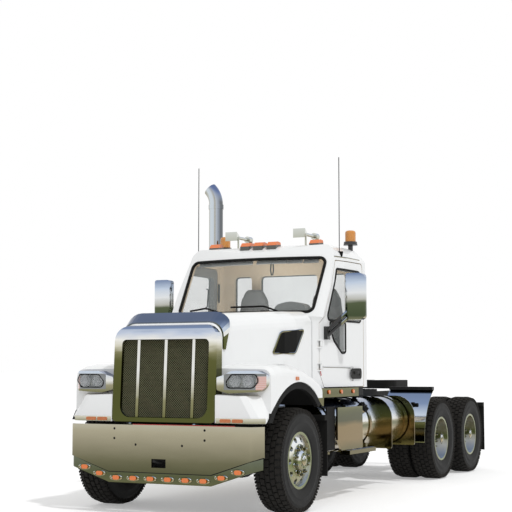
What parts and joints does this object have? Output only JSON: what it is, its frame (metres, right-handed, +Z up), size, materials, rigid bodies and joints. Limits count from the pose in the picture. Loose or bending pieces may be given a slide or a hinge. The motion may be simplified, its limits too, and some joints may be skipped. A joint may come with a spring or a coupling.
{
  "type": "semi truck tractor unit",
  "caption": "Conventional day cab semi truck tractor with a tilting hood, swinging doors, steered front wheels, driven tandem wheels and a fifth wheel coupling.",
  "frame": {"origin": "centre of the bounding box's floor face, on the ground under the truck", "axes": "+Z up, +Y towards the back of the truck, +X to the driver's left"},
  "size_m": [2.82, 7.74, 4.04],
  "materials": {
    "white_paint": "gloss white paint",
    "chrome": "polished chrome",
    "polished_aluminium": "polished",
    "black_frame": "semi gloss black chassis paint",
    "cast_iron": "black painted casting",
    "tyre_rubber": "tread rubber",
    "rubber": "moulded flap",
    "glass": "clear glass",
    "amber_lens": "amber lens",
    "red_lens": "red lens",
    "dark_plastic": "black moulding",
    "grey_trim": "soft grey trim",
    "seat_fabric": "grey cloth"
  },
  "bodies": {
    "chassis": {"frame_rails": "black_frame", "crossmembers": "black_frame", "bumper": "chrome", "bumper_valance": "chrome", "marker_lamps": "amber_lens", "front_axle": "cast_iron", "suspension": "black_frame", "rear_axles": "cast_iron", "driveshafts": "cast_iron", "engine": "cast_iron", "radiator": "dark_plastic", "cab_floor": "white_paint", "cab_front": "white_paint", "cab_back": "white_paint", "cab_roof": "white_paint", "cab_glass": "glass", "dashboard": "grey_trim", "steering_wheel": "dark_plastic", "seats": "seat_fabric", "wipers": "dark_plastic", "air_horns": "chrome", "beacons": "amber_lens", "antennas": "dark_plastic", "exhaust_stack": "chrome", "fuel_tanks": "polished_aluminium", "tank_steps": "polished_aluminium", "sill_panels": "polished_aluminium", "fifth_wheel": "black_frame", "quarter_fenders": "chrome", "mudflaps": "rubber", "tail_lamps": "red_lens"},
    "hood": {"hood_shell": "white_paint", "grille_surround": "chrome", "grille_insert": "dark_plastic", "hood_crown": "chrome", "headlamps": "chrome", "arch_liners": "dark_plastic", "fender_lamps": "amber_lens", "hood_vents": "dark_plastic"},
    "door_left": {"door_left": "white_paint", "door_glass_left": "glass", "mirror_left": "chrome"},
    "knuckle_left": {"knuckle_left": "cast_iron"},
    "wheel_front_left": {"tyre_front_left": "tyre_rubber", "rim_front_left": "polished_aluminium"},
    "door_right": {"door_right": "white_paint", "door_glass_right": "glass", "mirror_right": "chrome"},
    "knuckle_right": {"knuckle_right": "cast_iron"},
    "wheel_front_right": {"tyre_front_right": "tyre_rubber", "rim_front_right": "polished_aluminium"},
    "wheels_rear_1_left": {"tyres_rear_1_left": "tyre_rubber", "rims_rear_1_left": "polished_aluminium"},
    "wheels_rear_1_right": {"tyres_rear_1_right": "tyre_rubber", "rims_rear_1_right": "polished_aluminium"},
    "wheels_rear_2_left": {"tyres_rear_2_left": "tyre_rubber", "rims_rear_2_left": "polished_aluminium"},
    "wheels_rear_2_right": {"tyres_rear_2_right": "tyre_rubber", "rims_rear_2_right": "polished_aluminium"}
  },
  "joints": [
    {"name": "steer_left", "type": "hinge", "parent": "chassis", "child": "knuckle_left", "pos_m": [0.9, -3, 0.55], "axis": [0, 0, 1], "range_deg": [-40, 40]},
    {"name": "wheel_front_left_spin", "type": "hinge", "parent": "knuckle_left", "child": "wheel_front_left", "pos_m": [1.076, -3, 0.55], "axis": [1, 0, 0], "continuous": true},
    {"name": "steer_right", "type": "hinge", "parent": "chassis", "child": "knuckle_right", "pos_m": [-0.9, -3, 0.55], "axis": [0, 0, 1], "range_deg": [-40, 40]},
    {"name": "wheel_front_right_spin", "type": "hinge", "parent": "knuckle_right", "child": "wheel_front_right", "pos_m": [-1.076, -3, 0.55], "axis": [1, 0, 0], "continuous": true},
    {"name": "wheels_rear_1_left_spin", "type": "hinge", "parent": "chassis", "child": "wheels_rear_1_left", "pos_m": [0.891, 1.7685, 0.55], "axis": [1, 0, 0], "continuous": true},
    {"name": "wheels_rear_1_right_spin", "type": "hinge", "parent": "chassis", "child": "wheels_rear_1_right", "pos_m": [-0.891, 1.7685, 0.55], "axis": [1, 0, 0], "continuous": true},
    {"name": "wheels_rear_2_left_spin", "type": "hinge", "parent": "chassis", "child": "wheels_rear_2_left", "pos_m": [0.891, 3.1115, 0.55], "axis": [1, 0, 0], "continuous": true},
    {"name": "wheels_rear_2_right_spin", "type": "hinge", "parent": "chassis", "child": "wheels_rear_2_right", "pos_m": [-0.891, 3.1115, 0.55], "axis": [1, 0, 0], "continuous": true},
    {"name": "door_left_swing", "type": "hinge", "parent": "chassis", "child": "door_left", "pos_m": [1.03, -2.038, 2], "axis": [0, 0, -1], "range_deg": [0, 70]},
    {"name": "door_right_swing", "type": "hinge", "parent": "chassis", "child": "door_right", "pos_m": [-1.03, -2.038, 2], "axis": [0, 0, 1], "range_deg": [0, 70]},
    {"name": "hood_tilt", "type": "hinge", "parent": "chassis", "child": "hood", "pos_m": [0, -3.8, 0.93], "axis": [1, 0, 0], "range_deg": [0, 75]}
  ],
  "couplings": [
    {"joint": "steer_right", "follows": "steer_left", "ratio": 1}
  ]
}
